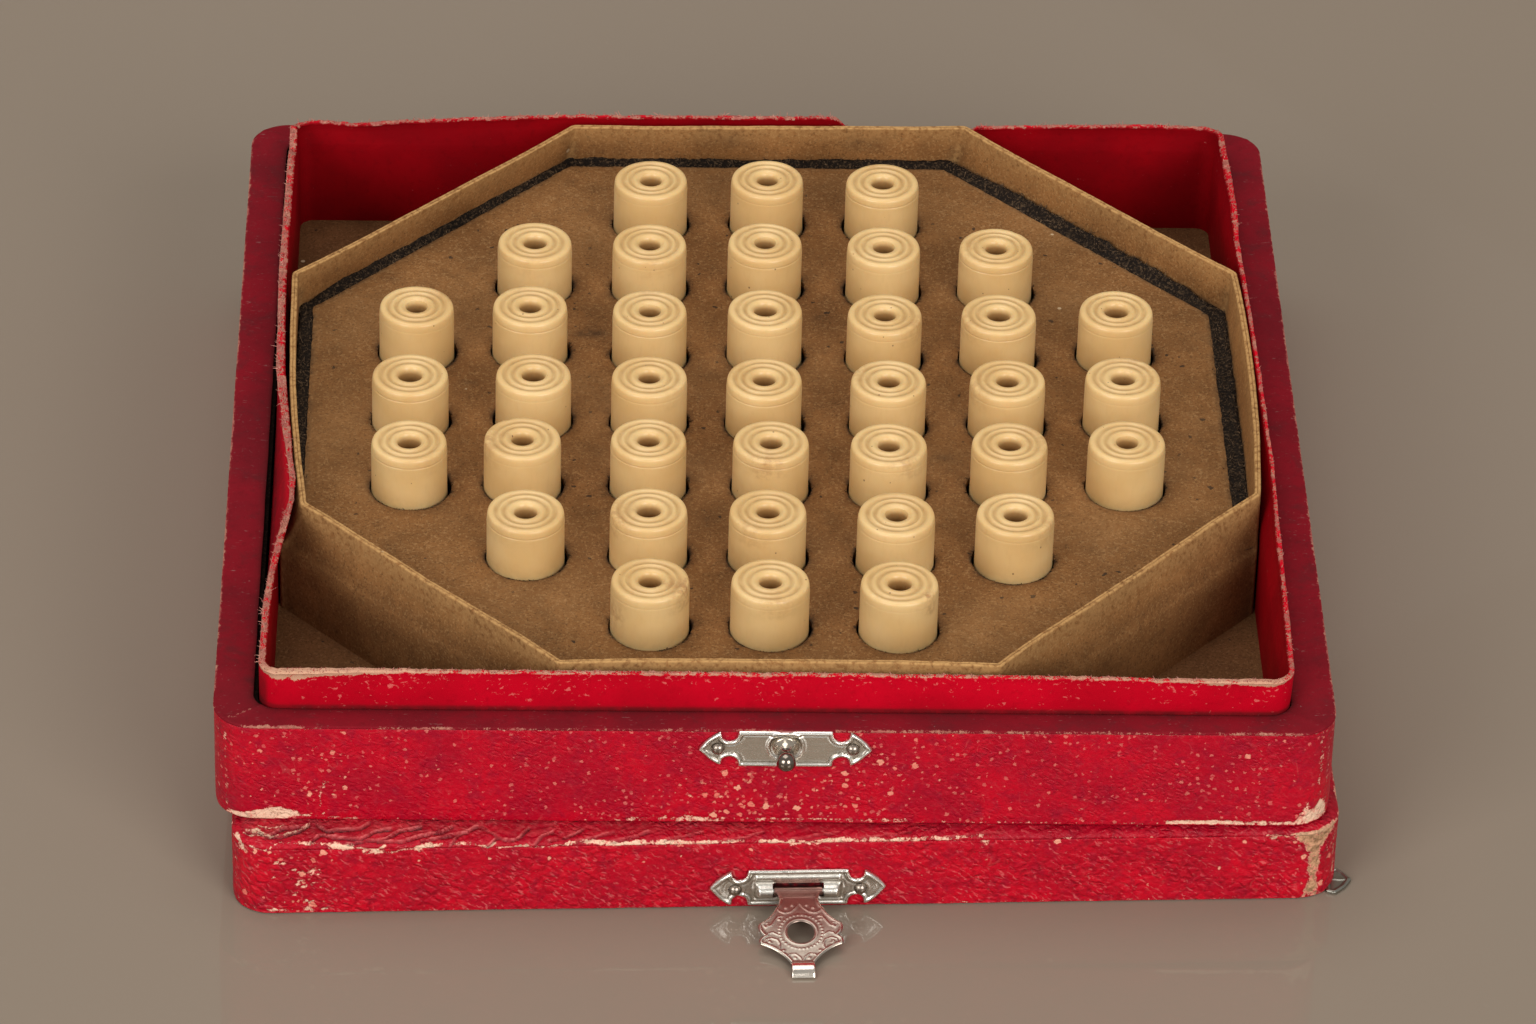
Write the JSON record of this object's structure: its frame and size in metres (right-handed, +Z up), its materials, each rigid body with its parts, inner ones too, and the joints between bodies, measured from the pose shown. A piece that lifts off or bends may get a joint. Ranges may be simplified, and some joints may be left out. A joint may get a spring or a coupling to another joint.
{
  "type": "peg solitaire board",
  "caption": "Travelling peg solitaire in a red leather case: a square tray with an octagonal pegged board, standing on its own detached padded lid with a hasp.",
  "frame": {"origin": "on the table, in the middle of the whole footprint (bounding box bottom centre)", "axes": "+Z up; -Y is the front, with the hasp and the knob; +X to the right seen from the front"},
  "size_m": [0.16, 0.1745, 0.0361],
  "materials": {
    "box_wood": "plain thin box wood",
    "red_leather_lid": "grained red leather, worn at the edges",
    "red_leather_top": "grained red leather over wadding",
    "red_leather_tray": "grained red leather, worn at the edges",
    "rim_paper": "dull red paper",
    "lining_paper": "red lining paper",
    "wadding": "cotton wadding",
    "red_liner": "red paper over card, torn top edge",
    "collar_card": "brown card, folded",
    "brown_card": "brown card",
    "board_card": "brown card face, specked",
    "black_edge": "blackened drilled block",
    "bone": "turned and polished bone",
    "nickel": "pressed nickel silver",
    "nickel_leaf": "embossed nickel silver",
    "nickel_knob": "turned, dulled"
  },
  "bodies": {
    "lid": {"lid_wall_frame": "box_wood", "lid_top_panel": "box_wood", "lid_leather_cover": "red_leather_lid", "lid_padding": "wadding", "lid_top_leather": "red_leather_top", "lid_lining": "lining_paper", "side_tab": "nickel", "hasp_plate": "nickel", "hasp_plate_pins": "nickel", "hasp_pin": "nickel"},
    "hasp": {"hasp_leaf": "nickel_leaf"},
    "tray": {"tray_bottom_panel": "box_wood", "tray_wall_frame": "box_wood", "tray_leather_cover": "red_leather_tray", "rim_paper": "rim_paper", "floor_card": "brown_card", "liner": "red_liner", "collar": "collar_card", "peg_block": "black_edge", "peg_board": "board_card", "knob_plate": "nickel", "knob_plate_pins": "nickel", "knob": "nickel_knob"},
    "peg_c1": {"peg_c1": "bone"},
    "peg_d1": {"peg_d1": "bone"},
    "peg_e1": {"peg_e1": "bone"},
    "peg_b2": {"peg_b2": "bone"},
    "peg_c2": {"peg_c2": "bone"},
    "peg_d2": {"peg_d2": "bone"},
    "peg_e2": {"peg_e2": "bone"},
    "peg_f2": {"peg_f2": "bone"},
    "peg_a3": {"peg_a3": "bone"},
    "peg_b3": {"peg_b3": "bone"},
    "peg_c3": {"peg_c3": "bone"},
    "peg_d3": {"peg_d3": "bone"},
    "peg_e3": {"peg_e3": "bone"},
    "peg_f3": {"peg_f3": "bone"},
    "peg_g3": {"peg_g3": "bone"},
    "peg_a4": {"peg_a4": "bone"},
    "peg_b4": {"peg_b4": "bone"},
    "peg_c4": {"peg_c4": "bone"},
    "peg_d4": {"peg_d4": "bone"},
    "peg_e4": {"peg_e4": "bone"},
    "peg_f4": {"peg_f4": "bone"},
    "peg_g4": {"peg_g4": "bone"},
    "peg_a5": {"peg_a5": "bone"},
    "peg_b5": {"peg_b5": "bone"},
    "peg_c5": {"peg_c5": "bone"},
    "peg_d5": {"peg_d5": "bone"},
    "peg_e5": {"peg_e5": "bone"},
    "peg_f5": {"peg_f5": "bone"},
    "peg_g5": {"peg_g5": "bone"},
    "peg_b6": {"peg_b6": "bone"},
    "peg_c6": {"peg_c6": "bone"},
    "peg_d6": {"peg_d6": "bone"},
    "peg_e6": {"peg_e6": "bone"},
    "peg_f6": {"peg_f6": "bone"},
    "peg_c7": {"peg_c7": "bone"},
    "peg_d7": {"peg_d7": "bone"},
    "peg_e7": {"peg_e7": "bone"}
  },
  "joints": [
    {"name": "hasp_swing", "type": "hinge", "parent": "lid", "child": "hasp", "pos_m": [0.00159, -0.07173, 0.0035], "axis": [0.9994, 0.0342, 0], "range_deg": [-73, 76]},
    {"name": "tray_lift", "type": "slide", "parent": "lid", "child": "tray", "axis": [0, 0, 1], "range_m": [0, 0.04]},
    {"name": "peg_c1_lift", "type": "slide", "parent": "tray", "child": "peg_c1", "axis": [0, 0, 1], "range_m": [0, 0.025]},
    {"name": "peg_d1_lift", "type": "slide", "parent": "tray", "child": "peg_d1", "axis": [0, 0, 1], "range_m": [0, 0.025]},
    {"name": "peg_e1_lift", "type": "slide", "parent": "tray", "child": "peg_e1", "axis": [0, 0, 1], "range_m": [0, 0.025]},
    {"name": "peg_b2_lift", "type": "slide", "parent": "tray", "child": "peg_b2", "axis": [0, 0, 1], "range_m": [0, 0.025]},
    {"name": "peg_c2_lift", "type": "slide", "parent": "tray", "child": "peg_c2", "axis": [0, 0, 1], "range_m": [0, 0.025]},
    {"name": "peg_d2_lift", "type": "slide", "parent": "tray", "child": "peg_d2", "axis": [0, 0, 1], "range_m": [0, 0.025]},
    {"name": "peg_e2_lift", "type": "slide", "parent": "tray", "child": "peg_e2", "axis": [0, 0, 1], "range_m": [0, 0.025]},
    {"name": "peg_f2_lift", "type": "slide", "parent": "tray", "child": "peg_f2", "axis": [0, 0, 1], "range_m": [0, 0.025]},
    {"name": "peg_a3_lift", "type": "slide", "parent": "tray", "child": "peg_a3", "axis": [0, 0, 1], "range_m": [0, 0.025]},
    {"name": "peg_b3_lift", "type": "slide", "parent": "tray", "child": "peg_b3", "axis": [0, 0, 1], "range_m": [0, 0.025]},
    {"name": "peg_c3_lift", "type": "slide", "parent": "tray", "child": "peg_c3", "axis": [0, 0, 1], "range_m": [0, 0.025]},
    {"name": "peg_d3_lift", "type": "slide", "parent": "tray", "child": "peg_d3", "axis": [0, 0, 1], "range_m": [0, 0.025]},
    {"name": "peg_e3_lift", "type": "slide", "parent": "tray", "child": "peg_e3", "axis": [0, 0, 1], "range_m": [0, 0.025]},
    {"name": "peg_f3_lift", "type": "slide", "parent": "tray", "child": "peg_f3", "axis": [0, 0, 1], "range_m": [0, 0.025]},
    {"name": "peg_g3_lift", "type": "slide", "parent": "tray", "child": "peg_g3", "axis": [0, 0, 1], "range_m": [0, 0.025]},
    {"name": "peg_a4_lift", "type": "slide", "parent": "tray", "child": "peg_a4", "axis": [0, 0, 1], "range_m": [0, 0.025]},
    {"name": "peg_b4_lift", "type": "slide", "parent": "tray", "child": "peg_b4", "axis": [0, 0, 1], "range_m": [0, 0.025]},
    {"name": "peg_c4_lift", "type": "slide", "parent": "tray", "child": "peg_c4", "axis": [0, 0, 1], "range_m": [0, 0.025]},
    {"name": "peg_d4_lift", "type": "slide", "parent": "tray", "child": "peg_d4", "axis": [0, 0, 1], "range_m": [0, 0.025]},
    {"name": "peg_e4_lift", "type": "slide", "parent": "tray", "child": "peg_e4", "axis": [0, 0, 1], "range_m": [0, 0.025]},
    {"name": "peg_f4_lift", "type": "slide", "parent": "tray", "child": "peg_f4", "axis": [0, 0, 1], "range_m": [0, 0.025]},
    {"name": "peg_g4_lift", "type": "slide", "parent": "tray", "child": "peg_g4", "axis": [0, 0, 1], "range_m": [0, 0.025]},
    {"name": "peg_a5_lift", "type": "slide", "parent": "tray", "child": "peg_a5", "axis": [0, 0, 1], "range_m": [0, 0.025]},
    {"name": "peg_b5_lift", "type": "slide", "parent": "tray", "child": "peg_b5", "axis": [0, 0, 1], "range_m": [0, 0.025]},
    {"name": "peg_c5_lift", "type": "slide", "parent": "tray", "child": "peg_c5", "axis": [0, 0, 1], "range_m": [0, 0.025]},
    {"name": "peg_d5_lift", "type": "slide", "parent": "tray", "child": "peg_d5", "axis": [0, 0, 1], "range_m": [0, 0.025]},
    {"name": "peg_e5_lift", "type": "slide", "parent": "tray", "child": "peg_e5", "axis": [0, 0, 1], "range_m": [0, 0.025]},
    {"name": "peg_f5_lift", "type": "slide", "parent": "tray", "child": "peg_f5", "axis": [0, 0, 1], "range_m": [0, 0.025]},
    {"name": "peg_g5_lift", "type": "slide", "parent": "tray", "child": "peg_g5", "axis": [0, 0, 1], "range_m": [0, 0.025]},
    {"name": "peg_b6_lift", "type": "slide", "parent": "tray", "child": "peg_b6", "axis": [0, 0, 1], "range_m": [0, 0.025]},
    {"name": "peg_c6_lift", "type": "slide", "parent": "tray", "child": "peg_c6", "axis": [0, 0, 1], "range_m": [0, 0.025]},
    {"name": "peg_d6_lift", "type": "slide", "parent": "tray", "child": "peg_d6", "axis": [0, 0, 1], "range_m": [0, 0.025]},
    {"name": "peg_e6_lift", "type": "slide", "parent": "tray", "child": "peg_e6", "axis": [0, 0, 1], "range_m": [0, 0.025]},
    {"name": "peg_f6_lift", "type": "slide", "parent": "tray", "child": "peg_f6", "axis": [0, 0, 1], "range_m": [0, 0.025]},
    {"name": "peg_c7_lift", "type": "slide", "parent": "tray", "child": "peg_c7", "axis": [0, 0, 1], "range_m": [0, 0.025]},
    {"name": "peg_d7_lift", "type": "slide", "parent": "tray", "child": "peg_d7", "axis": [0, 0, 1], "range_m": [0, 0.025]},
    {"name": "peg_e7_lift", "type": "slide", "parent": "tray", "child": "peg_e7", "axis": [0, 0, 1], "range_m": [0, 0.025]}
  ]
}
